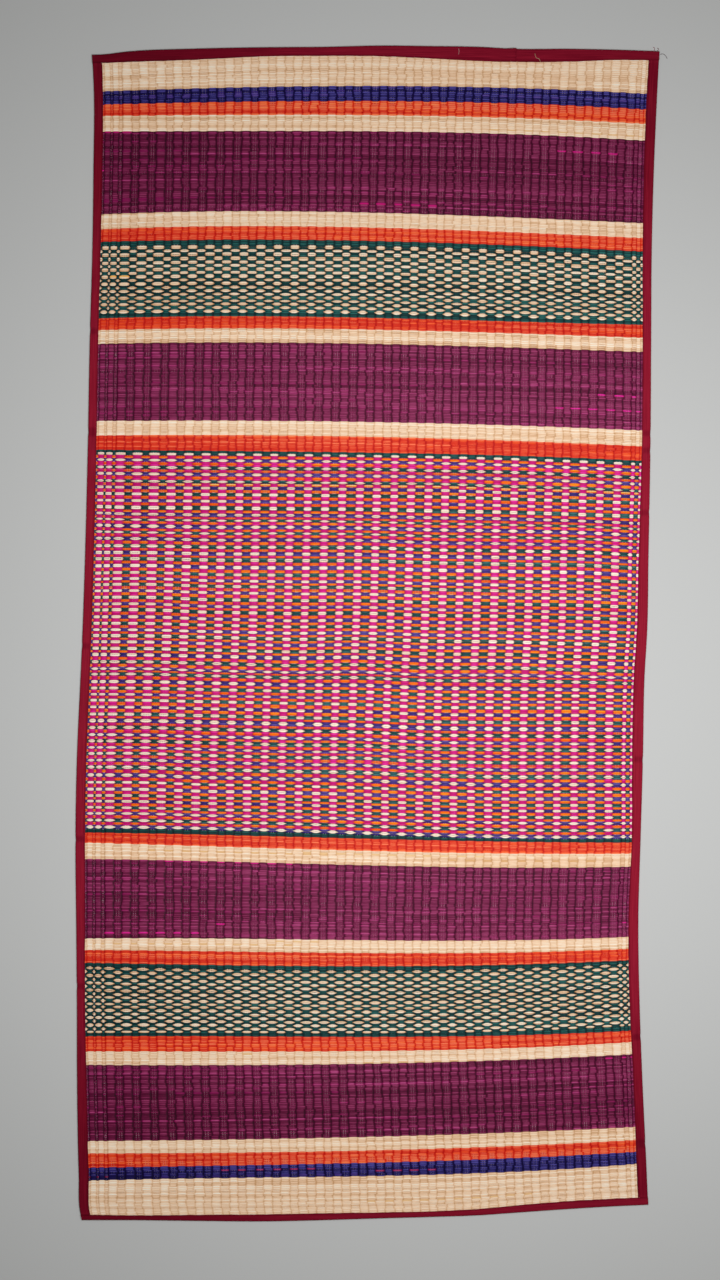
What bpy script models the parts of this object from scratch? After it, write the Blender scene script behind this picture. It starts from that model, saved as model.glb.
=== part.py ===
"""A korai grass mat lying flat, woven across its width and bound with a folded cloth tape.

Metres, +Z up. The long side runs along Y. The underside lies at z = 0, and the origin is on the
floor under the middle of the mat. The mat was laid by hand, so no edge is quite straight.
"""

from collections import namedtuple
from math import radians

import bmesh
import bpy
import numpy as np

# The long edges. Each row holds a place along Y, each side's outer edge in X, and its tape's width.
SideRow = namedtuple("SideRow", "along left left_tape right right_tape")
SIDE_ROWS = (
    SideRow(0.935, -0.4385, 0.0160, 0.4642, 0.0160),
    SideRow(0.860, -0.4350, 0.0145, 0.4604, 0.0168),
    SideRow(0.735, -0.4357, 0.0143, 0.4550, 0.0160),
    SideRow(0.600, -0.4376, 0.0132, 0.4515, 0.0145),
    SideRow(0.480, -0.4412, 0.0135, 0.4508, 0.0138),
    SideRow(0.300, -0.4446, 0.0137, 0.4496, 0.0138),
    SideRow(0.130, -0.4488, 0.0140, 0.4466, 0.0158),
    SideRow(-0.005, -0.4534, 0.0143, 0.4440, 0.0168),
    SideRow(-0.060, -0.4558, 0.0147, 0.4406, 0.0170),
    SideRow(-0.200, -0.4620, 0.0151, 0.4376, 0.0174),
    SideRow(-0.330, -0.4642, 0.0153, 0.4338, 0.0142),
    SideRow(-0.450, -0.4632, 0.0142, 0.4304, 0.0158),
    SideRow(-0.590, -0.4620, 0.0132, 0.4324, 0.0160),
    SideRow(-0.700, -0.4618, 0.0150, 0.4364, 0.0145),
    SideRow(-0.860, -0.4590, 0.0160, 0.4438, 0.0158),
    SideRow(-0.920, -0.4566, 0.0154, 0.4462, 0.0156),
    SideRow(-0.935, -0.4528, 0.0154, 0.4466, 0.0156),
)

# The short ends. Each row holds a place across X, each end's outer edge in Y, and its tape's width.
EndRow = namedtuple("EndRow", "across top top_tape bottom bottom_tape")
END_ROWS = (
    EndRow(-0.465, 0.9198, 0.0140, -0.9320, 0.0090),
    EndRow(-0.418, 0.9202, 0.0140, -0.9320, 0.0085),
    EndRow(-0.385, 0.9242, 0.0168, -0.9320, 0.0078),
    EndRow(-0.273, 0.9292, 0.0178, -0.9332, 0.0098),
    EndRow(-0.165, 0.9313, 0.0148, -0.9340, 0.0113),
    EndRow(-0.063, 0.9321, 0.0146, -0.9318, 0.0110),
    EndRow(0.020, 0.9340, 0.0172, -0.9292, 0.0095),
    EndRow(0.099, 0.9332, 0.0197, -0.9270, 0.0089),
    EndRow(0.182, 0.9318, 0.0226, -0.9240, 0.0104),
    EndRow(0.230, 0.9290, 0.0212, -0.9206, 0.0115),
    EndRow(0.322, 0.9288, 0.0204, -0.9142, 0.0128),
    EndRow(0.385, 0.9276, 0.0170, -0.9104, 0.0124),
    EndRow(0.465, 0.9250, 0.0145, -0.9068, 0.0120),
)

# Heights and thicknesses
CROWN_HEIGHT = 0.0030
GROOVE_HEIGHT = 0.0024
CLOTH = 0.0010
CLEARANCE = 0.0003
RIM_LOW = CLOTH + CLEARANCE
RIM_HIGH = 0.0027
RIM_INSET = 0.0020
BINDING_HEIGHT = RIM_HIGH + CLEARANCE + CLOTH
FOLD_BULGE = 0.0003
FOLD_ROUND = 0.0011
FOLD_SHOULDER = 0.0006
FOLD_CHEEK = 0.0014

# Where the woven cloth thins to pass into the binding, measured past the tape's inner edge
PINCH_END = 0.0005
FULL_HEIGHT_START = 0.0030

# Rings of points round the mat, counted from its rim: the first ones lie in the pinch, and the
# next is where the full height starts
PINCHED_RINGS = 2
FULL_RING = 2

# Columns of the weave between the bindings: a few narrow ones at each side, even ones between
NARROW_LEFT = 4
EVEN = 60
NARROW_RIGHT = 3
NARROW_TO_EVEN = 0.52

# Spans along the length of the mat, and across an end binding
LENGTH_SPANS = 20
END_SPANS = 40

# The tape along the top is in two lengths that meet here, as a share of the width
TOP_JOIN = 0.740

# Steps in which the crossing of two curved lines settles to less than a hundredth of a millimetre
CROSSING_STEPS = 6

STRAW = (0.62, 0.42, 0.22)
STRAW_ROUGHNESS = 0.55
MAROON = (0.16, 0.005, 0.025)
MAROON_ROUGHNESS = 0.85

# Angles in degrees past which a fold is shaded sharp
RIB_CREASE = 60
FOLD_CREASE = 50

# A line across or along the mat: its share of the way between two inset edges, and that inset,
# which is a fixed distance plus a number of tape widths.
Line = namedtuple("Line", "share inset tapes")


def clear_scene():
    for old in list(bpy.data.objects):
        bpy.data.objects.remove(old, do_unlink=True)


def smooth(rows, places, name, at):
    """Read one column of a table as a smooth curve through its rows."""
    rows = sorted(rows, key=lambda row: getattr(row, places))
    knots = np.array([getattr(row, places) for row in rows])
    values = np.array([getattr(row, name) for row in rows])
    slopes = np.gradient(values, knots)
    at = np.clip(at, knots[0], knots[-1])
    low = np.clip(np.searchsorted(knots, at) - 1, 0, len(knots) - 2)
    span = knots[low + 1] - knots[low]
    t = (at - knots[low]) / span
    rise = (3 - 2 * t) * t * t
    start = values[low] * (1 - rise) + values[low + 1] * rise
    bend = t * (1 - t) * span * (slopes[low] * (1 - t) - slopes[low + 1] * t)
    return start + bend


def side(name, along):
    return smooth(SIDE_ROWS, "along", name, along)


def end(name, across):
    return smooth(END_ROWS, "across", name, across)


def place(across, along):
    """The point where a line running along the mat crosses one running across it."""
    x = 0.0
    y = 0.0
    for _ in range(CROSSING_STEPS):
        low = end("bottom", x) + along.inset + along.tapes * end("bottom_tape", x)
        high = end("top", x) - along.inset - along.tapes * end("top_tape", x)
        y = low + (high - low) * along.share
        left = side("left", y) + across.inset + across.tapes * side("left_tape", y)
        right = side("right", y) - across.inset - across.tapes * side("right_tape", y)
        x = left + (right - left) * across.share
    return float(x), float(y)


def finish(name, colour, roughness):
    material = bpy.data.materials.new(name)
    material.use_nodes = True
    shader = material.node_tree.nodes["Principled BSDF"]
    shader.inputs["Base Color"].default_value = (*colour, 1)
    shader.inputs["Roughness"].default_value = roughness
    shader.inputs["Metallic"].default_value = 0
    return material


def piece(name, bm, material, crease):
    """Turn a closed bmesh into a named object, smooth except along its folds."""
    bmesh.ops.recalc_face_normals(bm, faces=bm.faces)
    mesh = bpy.data.meshes.new(name)
    bm.to_mesh(mesh)
    bm.free()
    mesh.materials.append(material)
    mesh.shade_smooth()
    mesh.set_sharp_from_angle(angle=radians(crease))
    thing = bpy.data.objects.new(name, mesh)
    bpy.context.scene.collection.objects.link(thing)
    return thing


def rim_lines(share):
    """The rim's edge, the end of its pinch, and the start of full height, from the rim inward."""
    full_height = Line(share, FULL_HEIGHT_START, 1)
    return [Line(share, RIM_INSET, 0), Line(share, PINCH_END, 1), full_height]


def middle_rows():
    """Lines across the mat at even steps along its full height."""
    return [Line(n / LENGTH_SPANS, FULL_HEIGHT_START, 1) for n in range(1, LENGTH_SPANS)]


def weave_columns():
    """Lines along every groove and crown, and whether each is a crown."""
    widths = [NARROW_TO_EVEN] * NARROW_LEFT + [1.0] * EVEN + [NARROW_TO_EVEN] * NARROW_RIGHT
    lines = []
    crowns = []
    reached = 0.0
    for number, width in enumerate(widths):
        if number:
            lines.append(Line(reached / sum(widths), FULL_HEIGHT_START, 1))
            crowns.append(False)
        lines.append(Line((reached + width / 2) / sum(widths), FULL_HEIGHT_START, 1))
        crowns.append(True)
        reached += width
    return lines, crowns


def woven_mat(material):
    """The woven cloth as one solid, flat below and ribbed above, thin where the tape grips it."""
    ribs, crowns = weave_columns()
    across = rim_lines(0) + ribs + rim_lines(1)[::-1]
    plain = [False] * (FULL_RING + 1)
    crowns = plain + crowns + plain
    along = rim_lines(0) + middle_rows() + rim_lines(1)[::-1]
    columns = len(across)
    rows = len(along)

    def ring(i, j):
        return min(i, j, columns - 1 - i, rows - 1 - j)

    bm = bmesh.new()
    above = {}
    below = {}
    for i in range(columns):
        for j in range(rows):
            x, y = place(across[i], along[j])
            depth = ring(i, j)
            full = CROWN_HEIGHT if crowns[i] else GROOVE_HEIGHT
            pinched = depth < PINCHED_RINGS
            above[i, j] = bm.verts.new((x, y, RIM_HIGH if pinched else full))
            if depth <= FULL_RING:
                below[i, j] = bm.verts.new((x, y, RIM_LOW if pinched else 0))
    for i in range(columns - 1):
        for j in range(rows - 1):
            corners = [(i, j), (i + 1, j), (i + 1, j + 1), (i, j + 1)]
            bm.faces.new([above[c] for c in corners])
            if min(ring(*c) for c in corners) < FULL_RING:
                bm.faces.new([below[c] for c in reversed(corners)])

    def loop(depth):
        last_i = columns - 1 - depth
        last_j = rows - 1 - depth
        return (
            [(i, depth) for i in range(depth, last_i)]
            + [(last_i, j) for j in range(depth, last_j)]
            + [(i, last_j) for i in range(last_i, depth, -1)]
            + [(depth, j) for j in range(last_j, depth, -1)]
        )

    bm.faces.new([below[c] for c in reversed(loop(FULL_RING))])
    edge = loop(0)
    for here, after in zip(edge, edge[1:] + edge[:1]):
        bm.faces.new([below[here], below[after], above[after], above[here]])
    return piece("woven_mat", bm, material, RIB_CREASE)


def fold_profile():
    """The tape's section as distances in from the mat's edge, tape widths and heights."""
    top = BINDING_HEIGHT
    return (
        (0, 1, 0),
        (0, 1, CLOTH),
        (CLOTH, 0, CLOTH),
        (CLOTH, 0, top - CLOTH),
        (0, 1, top - CLOTH),
        (0, 1, top),
        (FOLD_ROUND, 0, top),
        (FOLD_BULGE, 0, top - FOLD_SHOULDER),
        (0, 0, top - FOLD_CHEEK),
        (0, 0, FOLD_CHEEK),
        (FOLD_BULGE, 0, FOLD_SHOULDER),
        (FOLD_ROUND, 0, 0),
    )


def binding(name, crossing, stations, material):
    """Sweep the folded section through stations along an edge and cap its two ends."""
    bm = bmesh.new()
    sections = []
    for station in stations:
        section = []
        for inset, tapes, height in fold_profile():
            x, y = place(*crossing(station, inset, tapes))
            section.append(bm.verts.new((x, y, height)))
        sections.append(section)
    for here, after in zip(sections, sections[1:]):
        for k, corner in enumerate(here):
            bm.faces.new([here[k - 1], corner, after[k], after[k - 1]])
    bm.faces.new(sections[0])
    bm.faces.new(sections[-1][::-1])
    return piece(name, bm, material, FOLD_CREASE)


def side_binding(name, share, material):
    """A tape folded over a long edge, between the two end tapes."""
    foot = [Line(0, CLEARANCE, 1), Line(0, FULL_HEIGHT_START, 1)]
    head = [Line(1, FULL_HEIGHT_START, 1), Line(1, CLEARANCE, 1)]

    def crossing(row, inset, tapes):
        return Line(share, inset, tapes), row

    return binding(name, crossing, foot + middle_rows() + head, material)


def end_binding(name, share, start, stop, material):
    """A tape folded over part of a short end, out to the corners."""
    shares = np.linspace(start, stop, round(END_SPANS * (stop - start)) + 1)

    def crossing(column, inset, tapes):
        return Line(column, 0, 0), Line(share, inset, tapes)

    return binding(name, crossing, shares, material)


def build():
    clear_scene()
    straw = finish("korai_grass", STRAW, STRAW_ROUGHNESS)
    tape = finish("binding_tape", MAROON, MAROON_ROUGHNESS)
    half_gap = CLEARANCE / 2 / (SIDE_ROWS[0].right - SIDE_ROWS[0].left)
    woven_mat(straw)
    side_binding("tape_left", 0, tape)
    side_binding("tape_right", 1, tape)
    end_binding("tape_top_long", 1, 0, TOP_JOIN - half_gap, tape)
    end_binding("tape_top_short", 1, TOP_JOIN + half_gap, 1, tape)
    end_binding("tape_bottom", 0, 0, 1, tape)


build()
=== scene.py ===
"""The looks of a korai grass mat: every strand of grass, its cotton warps and its folded tape.

Metres, +Z up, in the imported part's own frame: X across the mat, Y along it towards its top end.
The mat is woven in rows across its width. A row holds two bundles of two strands each. One bundle
floats over the even warp columns and dips under the odd ones, and the other does the reverse.
"""

from collections import namedtuple

import bpy
import numpy as np
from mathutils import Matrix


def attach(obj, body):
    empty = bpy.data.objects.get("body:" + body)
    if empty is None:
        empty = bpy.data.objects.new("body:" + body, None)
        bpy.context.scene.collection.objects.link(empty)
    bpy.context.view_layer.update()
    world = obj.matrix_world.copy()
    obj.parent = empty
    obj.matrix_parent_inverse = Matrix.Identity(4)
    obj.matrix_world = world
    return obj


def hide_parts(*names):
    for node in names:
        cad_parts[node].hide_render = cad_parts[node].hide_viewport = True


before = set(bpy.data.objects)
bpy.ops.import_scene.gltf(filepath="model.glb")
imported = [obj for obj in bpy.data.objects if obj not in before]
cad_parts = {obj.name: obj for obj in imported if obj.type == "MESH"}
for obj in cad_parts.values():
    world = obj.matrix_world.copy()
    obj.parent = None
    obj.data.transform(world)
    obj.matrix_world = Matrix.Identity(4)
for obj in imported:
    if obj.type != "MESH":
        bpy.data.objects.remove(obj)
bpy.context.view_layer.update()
rng = np.random.default_rng(11)

# The photo is square on: how long one of its pixels is on the floor, and the pixel of the origin
PHOTO_WIDE = 720
PHOTO_HIGH = 1280
PIXEL = 0.00159
ORIGIN_X_PIXEL = 367.6
ORIGIN_Y_PIXEL = 633.5

# The long edges. Each row holds a place along Y, each side's outer edge in X, and its tape's width.
SideRow = namedtuple("SideRow", "along left left_tape right right_tape")
SIDE_ROWS = [SideRow(*row) for row in (
    (0.935, -0.4385, 0.016, 0.4642, 0.016),
    (0.86, -0.435, 0.0145, 0.4604, 0.0168),
    (0.735, -0.4357, 0.0143, 0.455, 0.016),
    (0.6, -0.4376, 0.0132, 0.4515, 0.0145),
    (0.48, -0.4412, 0.0135, 0.4508, 0.0138),
    (0.3, -0.4446, 0.0137, 0.4496, 0.0138),
    (0.13, -0.4488, 0.014, 0.4466, 0.0158),
    (-0.005, -0.4534, 0.0143, 0.444, 0.0168),
    (-0.06, -0.4558, 0.0147, 0.4406, 0.017),
    (-0.2, -0.462, 0.0151, 0.4376, 0.0174),
    (-0.33, -0.4642, 0.0153, 0.4338, 0.0142),
    (-0.45, -0.4632, 0.0142, 0.4304, 0.0158),
    (-0.59, -0.462, 0.0132, 0.4324, 0.016),
    (-0.7, -0.4618, 0.015, 0.4364, 0.0145),
    (-0.86, -0.459, 0.016, 0.4438, 0.0158),
    (-0.92, -0.4566, 0.0154, 0.4462, 0.0156),
    (-0.935, -0.4528, 0.0154, 0.4466, 0.0156),
)]

# The short ends. Each row holds a place across X, each end's outer edge in Y, and its tape's width.
EndRow = namedtuple("EndRow", "across top top_tape bottom bottom_tape")
END_ROWS = [EndRow(*row) for row in (
    (-0.465, 0.9198, 0.014, -0.932, 0.009),
    (-0.418, 0.9202, 0.014, -0.932, 0.0085),
    (-0.385, 0.9242, 0.0168, -0.932, 0.0078),
    (-0.273, 0.9292, 0.0178, -0.9332, 0.0098),
    (-0.165, 0.9313, 0.0148, -0.934, 0.0113),
    (-0.063, 0.9321, 0.0146, -0.9318, 0.011),
    (0.02, 0.934, 0.0172, -0.9292, 0.0095),
    (0.099, 0.9332, 0.0197, -0.927, 0.0089),
    (0.182, 0.9318, 0.0226, -0.924, 0.0104),
    (0.23, 0.929, 0.0212, -0.9206, 0.0115),
    (0.322, 0.9288, 0.0204, -0.9142, 0.0128),
    (0.385, 0.9276, 0.017, -0.9104, 0.0124),
    (0.465, 0.925, 0.0145, -0.9068, 0.012),
)]

# The stripes from the top end down: the piece that each belongs to, how it is woven, its rows,
# and where its lower edge lies, in millimetres along Y, at four places across the mat.
STRIPE_PLACES = (-0.4255, -0.1234, 0.1787, 0.4331)
Stripe = namedtuple("Stripe", "piece weave rows left middle_left middle_right right")
STRIPES = [Stripe(*row) for row in (
    ("border_top", "natural", 11, 861, 869, 868, 858),
    ("border_top", "indigo", 4, 840, 845.5, 843.5, 833),
    ("border_top", "red", 4, 822, 824, 820.5, 810),
    ("border_top", "natural", 5, 797.5, 798.5, 795, 783.5),
    ("purple_1", "purple", 26, 665.5, 670.5, 663, 652),
    ("band_1", "natural", 5, 642, 647, 639.5, 628.5),
    ("band_1", "red", 4, 622, 625.5, 618.5, 607),
    ("band_1", "green", 1, 615.5, 617.5, 611.5, 599),
    ("checker_1", "checker", 19, 507, 508.5, 502.5, 495.5),
    ("band_2", "green", 1, 500.5, 503.5, 497, 490.5),
    ("band_2", "red", 4, 482, 484.5, 478.5, 470),
    ("band_2", "natural", 4, 460, 462, 456, 447.5),
    ("purple_2", "purple", 24, 337.5, 337.5, 332, 322.5),
    ("band_3", "natural", 5, 314.5, 314.5, 308, 297.5),
    ("band_3", "red", 5, 292, 289, 284, 274.5),
    ("band_3", "green", 1, 288.5, 285.5, 280.5, 271),
    ("centre", "centre", 115, -310.5, -316, -325, -325.5),
    ("band_4", "green", 1, -316.5, -323, -330, -332),
    ("band_4", "red", 4, -333, -342, -349, -349.5),
    ("band_4", "natural", 5, -358.5, -365, -371.5, -370),
    ("purple_3", "purple", 24, -484.5, -486, -488, -481),
    ("band_5", "natural", 4, -503, -506.5, -507.5, -500),
    ("band_5", "red", 4, -523.5, -528, -527, -518),
    ("band_5", "green", 1, -529, -534.5, -533, -523),
    ("checker_2", "checker", 19, -635, -635.5, -633.5, -622.5),
    ("band_6", "green", 1, -640, -640.5, -639.5, -630),
    ("band_6", "red", 4, -664, -664, -660, -648),
    ("band_6", "natural", 4, -685.5, -685, -679, -667.5),
    ("purple_4", "purple", 23, -806.5, -802.5, -794.5, -783.5),
    ("border_bottom", "natural", 4, -826, -823.5, -816, -804),
    ("border_bottom", "red", 4, -848.5, -843.5, -835.5, -823),
    ("border_bottom", "indigo", 4, -869, -864, -857.5, -842),
    ("border_bottom", "natural", 12, None, None, None, None),
)]
MILLIMETRE = 0.001
CENTRE_PIECES = 4

# How far the first and last rows run on under the end tapes, and each row's ends under a side tape
UNDER_TOP_TAPE = 0.009
UNDER_BOTTOM_TAPE = 0.005
UNDER_SIDE_TAPE = 0.003

# What floats over the even columns and over the odd ones, row after row
WEAVES = {dye: ((dye, dye),) for dye in ("natural", "indigo", "red", "green", "purple")}
WEAVES["checker"] = (("natural", "green"), ("green", "natural"))
WEAVES["centre"] = (("cream", "teal"), ("pink", "orange"), ("cream", "violet"), ("pink", "orange"))

# Odd strands among a stripe's own: how often a strand is one, and how many columns it can run
Stray = namedtuple("Stray", "weave dye often longest")
STRAYS = (
    Stray("purple", "plum", 0.35, 40),
    Stray("purple", "pink", 0.03, 16),
    Stray("red", "scarlet", 0.60, 60),
    Stray("indigo", "plum", 0.10, 20),
    Stray("indigo", "violet", 0.15, 30),
    Stray("natural", "gold", 0.08, 30),
)

# Single strands of a dye of their own: the piece, the row in its stripe, the bundle whose first
# strand it is, and from which column to which
Single = namedtuple("Single", "piece row bundle start stop dye")
SINGLES = (
    Single("checker_1", 8, 0, 2, 7, "amber"),
    Single("centre", 9, 1, 9, 68, "amber"),
)

# A dye on grass: in the dip between two columns, where it is painted shade, on the body of a float,
# and on its crown, where it is worn paler and a painted highlight
Dye = namedtuple("Dye", "name dip body crown")
DYES = [Dye(*row) for row in (
    ("natural", (200, 148, 100), (249, 213, 177), (255, 252, 238)),
    ("cream", (224, 190, 156), (254, 235, 211), (255, 253, 242)),
    ("indigo", (8, 0, 44), (17, 4, 78), (92, 84, 176)),
    ("violet", (24, 10, 72), (59, 37, 124), (112, 92, 170)),
    ("red", (184, 2, 4), (227, 49, 20), (255, 134, 90)),
    ("scarlet", (200, 20, 6), (244, 78, 26), (255, 144, 92)),
    ("green", (0, 26, 28), (0, 54, 54), (44, 116, 110)),
    ("teal", (4, 38, 42), (16, 68, 70), (70, 130, 130)),
    ("purple", (50, 0, 25), (98, 0, 52), (168, 62, 112)),
    ("plum", (90, 0, 54), (136, 8, 80), (192, 80, 136)),
    ("pink", (168, 0, 92), (202, 0, 116), (242, 48, 170)),
    ("orange", (220, 50, 0), (246, 110, 0), (252, 166, 20)),
    ("amber", (236, 128, 28), (255, 190, 84), (255, 232, 174)),
    ("gold", (206, 150, 92), (236, 192, 138), (252, 222, 176)),
)]
DYE_NUMBERS = {dye.name: number for number, dye in enumerate(DYES)}

# Columns of the weave, from the left: narrow ones beside each tape and even ones between, and how
# wide the narrow ones are together
NARROW_LEFT = 5
EVEN = 60
NARROW_RIGHT = 3
COLUMNS = NARROW_LEFT + EVEN + NARROW_RIGHT
LEFT_SELVEDGE = 0.0313
RIGHT_SELVEDGE = 0.0168

# Where, across the mat, the floats over even columns change their length
CHANGE_FROM = -0.44
CHANGE_TO = -0.08

# How far a crossing strays in a patterned row and in a plain one, and the share of its move that
# it makes between narrow columns
CROSSING_JITTER = 0.0003
PLAIN_JITTER = 0.0008
SHARE_NARROW_LEFT = 0.35
SHARE_NARROW_RIGHT = 0.3

# How far the lines between columns stray, and how far each line of the narrow left columns moves to
# widen the even ones
LINE_JITTER = 0.00035
WIDER_EVEN = 0.0012

# How uneven the rows' heights are: from row to row, and in waves along each row
ROW_UNEVEN = 0.12
ROW_LIMITS = (0.7, 1.4)
ROW_DRIFT = 0.07
ROW_WAVES = 9

# How uneven the strands' widths are, within limits, and how often a bundle is thin
STRAND_UNEVEN = 0.05
STRAND_LIMITS = (0.88, 1.08)
THIN_OFTEN = 0.12
THIN = 0.85

# How alike in tone the two bundles of a plain row are, and the most lengths of grass in a strand
ALIKE = 0.75
MOST_LENGTHS = 3

# How much paler the dyed grass is to the right, which is painted light from that side, and in the
# purple stripes beside the centre, which is a painted sheen from the light above the middle
PAINTED_LIGHT_RIGHT = 0.25
MIDDLE_SHEEN = 0.20
MIDDLE_SHEEN_PIECES = ("purple_2", "purple_3")

# How far apart strands lie in the flat map of their fibres, and how much of its band a strand fills
# to each side in the map for baking
APART_IN_GRAIN = 0.01
BAKE_HALF = 0.4

# A float's crown above the floor, how far its edges droop, and the lowest that a strand runs
CROWN_HEIGHT = 0.0030
DROOP = 0.0007
CLEAR_OF_FLOOR = 0.0001

# The heights that the tape squeezes the weave between, and how far from its inner edge that is
# full and starts
PINCH_LOW = 0.0013
PINCH_HIGH = 0.0027
PINCH_END = 0.0005
PINCH_START = 0.0030

# The tape's folded cloth: how thick, how high in all, how wide on its face, and its steps
CLOTH = 0.0010
TAPE_HEIGHT = 0.0040
TAPE_WIDTH = 0.015
TAPE_STEP = 0.0045

# Where the two top tapes meet, as a share of the mat's width, and the gap left between two tapes
TOP_JOIN = 0.740
CLEARANCE = 0.0003

# The upper half of the folded cloth's section, from its inner edge over its face to the rim: how
# far in from the rim a point lies, with how many of the face's widths, and how far below the top
FoldPoint = namedtuple("FoldPoint", "inset tapes below")
FOLD = [FoldPoint(*row) for row in (
    (0.0, 1.0, CLOTH),
    (0.0002, 1.0, 0.0006),
    (0.0001, 1.0, 0.00025),
    (-0.0004, 1.0, 0.00005),
    (0.0, 0.78, 0.0),
    (0.0, 0.5, 0.0),
    (0.0024, 0.0, 0.00005),
    (0.001, 0.0, 0.0004),
    (0.0003, 0.0, 0.0011),
)]

# How the cloth's inner edge sways and frays, and how far its face dips between puckers
PUCKER_LENGTH = 0.012
SWAY = 0.00022
FRAY = 0.0001
DIP = 0.00012

# How pale each tape is, how much painted shade darkens it towards the mat's left and right
# corners, where the light falls off, how far that reaches, and where the corners lie to each side
# of the origin
TapeTone = namedtuple("TapeTone", "pale left_corner right_corner")
TAPE_TONES = {
    "cloth_left": TapeTone(0.13, 0.28, 0.0),
    "cloth_right": TapeTone(0.19, 0.0, 0.28),
    "cloth_top_long": TapeTone(0.05, 0.30, 0.06),
    "cloth_top_short": TapeTone(0.05, 0.30, 0.06),
    "cloth_bottom": TapeTone(0.03, 0.26, 0.0),
}
CORNER_REACH = 0.5
CORNER_X = 0.45
CORNER_Y = 0.92

# How far the longer top tape laps over the other one, as a share of the mat's width, how high it
# climbs, and how far before its end it stretches, starts to climb and has climbed
TOP_LAP = 0.008
LAP_RISE = 0.0009
LAP_STRETCH = 0.03
LAP_FOOT = 0.014
LAP_TOP = 0.004

# Where the side tapes are creased, in metres along Y, how far a crease reaches and sinks, and how
# pale the tape stays there beside its upper face, which paints shade in the crease
CREASES = {
    "left": (0.481, 0.320, -0.020, -0.328, -0.560),
    "right": (0.317, 0.290, 0.193, -0.201, -0.640, -0.810),
}
CREASE_REACH = 0.0045
CREASE_DEPTH = 0.0005
CREASE_SHADED_PALENESS = 0.3

# Places along Y to read the mat's width at, and how far in the middle of a side tape lies
NEAR_TOP = 0.92
NEAR_END = 0.9
MID_TAPE = 0.008

# How many rounds find a place in an end tape, where X and Y depend on each other
ROUNDS = 4

# How many places along a tape its width is read at
WIDTH_PLACES = 50


def curve(knots, values, at):
    """A smooth curve through a value at each knot."""
    slopes = np.gradient(values, knots)
    at = np.clip(at, knots[0], knots[-1])
    low = np.clip(np.searchsorted(knots, at) - 1, 0, len(knots) - 2)
    span = knots[low + 1] - knots[low]
    t = (at - knots[low]) / span
    rise = (3 - 2 * t) * t * t
    start = values[low] * (1 - rise) + values[low + 1] * rise
    bend = t * (1 - t) * span * (slopes[low] * (1 - t) - slopes[low + 1] * t)
    return start + bend


def smooth(rows, places, name, at):
    """Read one column of a table as a smooth curve through its rows."""
    rows = sorted(rows, key=lambda row: getattr(row, places))
    knots = np.array([getattr(row, places) for row in rows])
    return curve(knots, np.array([getattr(row, name) for row in rows]), at)


def side(name, along):
    return smooth(SIDE_ROWS, "along", name, along)


def end(name, across):
    return smooth(END_ROWS, "across", name, across)


def beside(*parts):
    """Arrays of one shape, their values side by side in a last axis."""
    return np.stack(parts, axis=-1)


def strip_faces(first, second):
    """Faces between two rows of points, from the corner numbers where each face starts."""
    return beside(first, first + 1, second + 1, second)


def ease(low, high, at):
    """0 below low, 1 above high, and a smooth rise between."""
    t = np.clip((at - low) / (high - low), 0, 1)
    return t * t * (3 - 2 * t)


# Finishes

# How much paler the grass is for its place on a float, which paints a highlight on the crowns and
# shade in the dips, its own tone, which also carries painted light, its fibres and the middle of
# its width, which paints shade at its edges, and the tape for its streaks, its weave and its upper
# face, which paints shade in its creases, from a darker start
GRASS_RISE = 0.24
GRASS_TINT = 0.42
GRASS_FIBRES = 0.7
GRASS_CROWN = 0.46
GRASS_START = 0.55
TAPE_STREAKS = 0.8
TAPE_WEAVE = 0.3
TAPE_FACE = 0.25
TAPE_START = 0.2

# The colours of the tape, from its streaks to its rubbed folds, and of the cotton of the warps,
# and how dark the twist of a sewing thread is beside its colour
MAROON = ((84, 0, 18), (114, 4, 30), (156, 26, 50))
COTTON = ((214, 176, 186), (250, 228, 232))
TWIST_DARKER = 0.7


def arithmetic(operation, reflected=False):
    """An operator on a signal: it adds a Math node."""

    def calculate(self, other):
        first, second = (other, self) if reflected else (self, other)
        return self.finish.node("ShaderNodeMath", {"operation": operation}, {0: first, 1: second})

    return calculate


class Signal:
    """A value inside a finish."""

    def __init__(self, finish, socket):
        self.finish = finish
        self.socket = socket

    __add__ = arithmetic("ADD")
    __radd__ = arithmetic("ADD", reflected=True)
    __sub__ = arithmetic("SUBTRACT")
    __rsub__ = arithmetic("SUBTRACT", reflected=True)
    __mul__ = arithmetic("MULTIPLY")
    __rmul__ = arithmetic("MULTIPLY", reflected=True)


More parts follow.
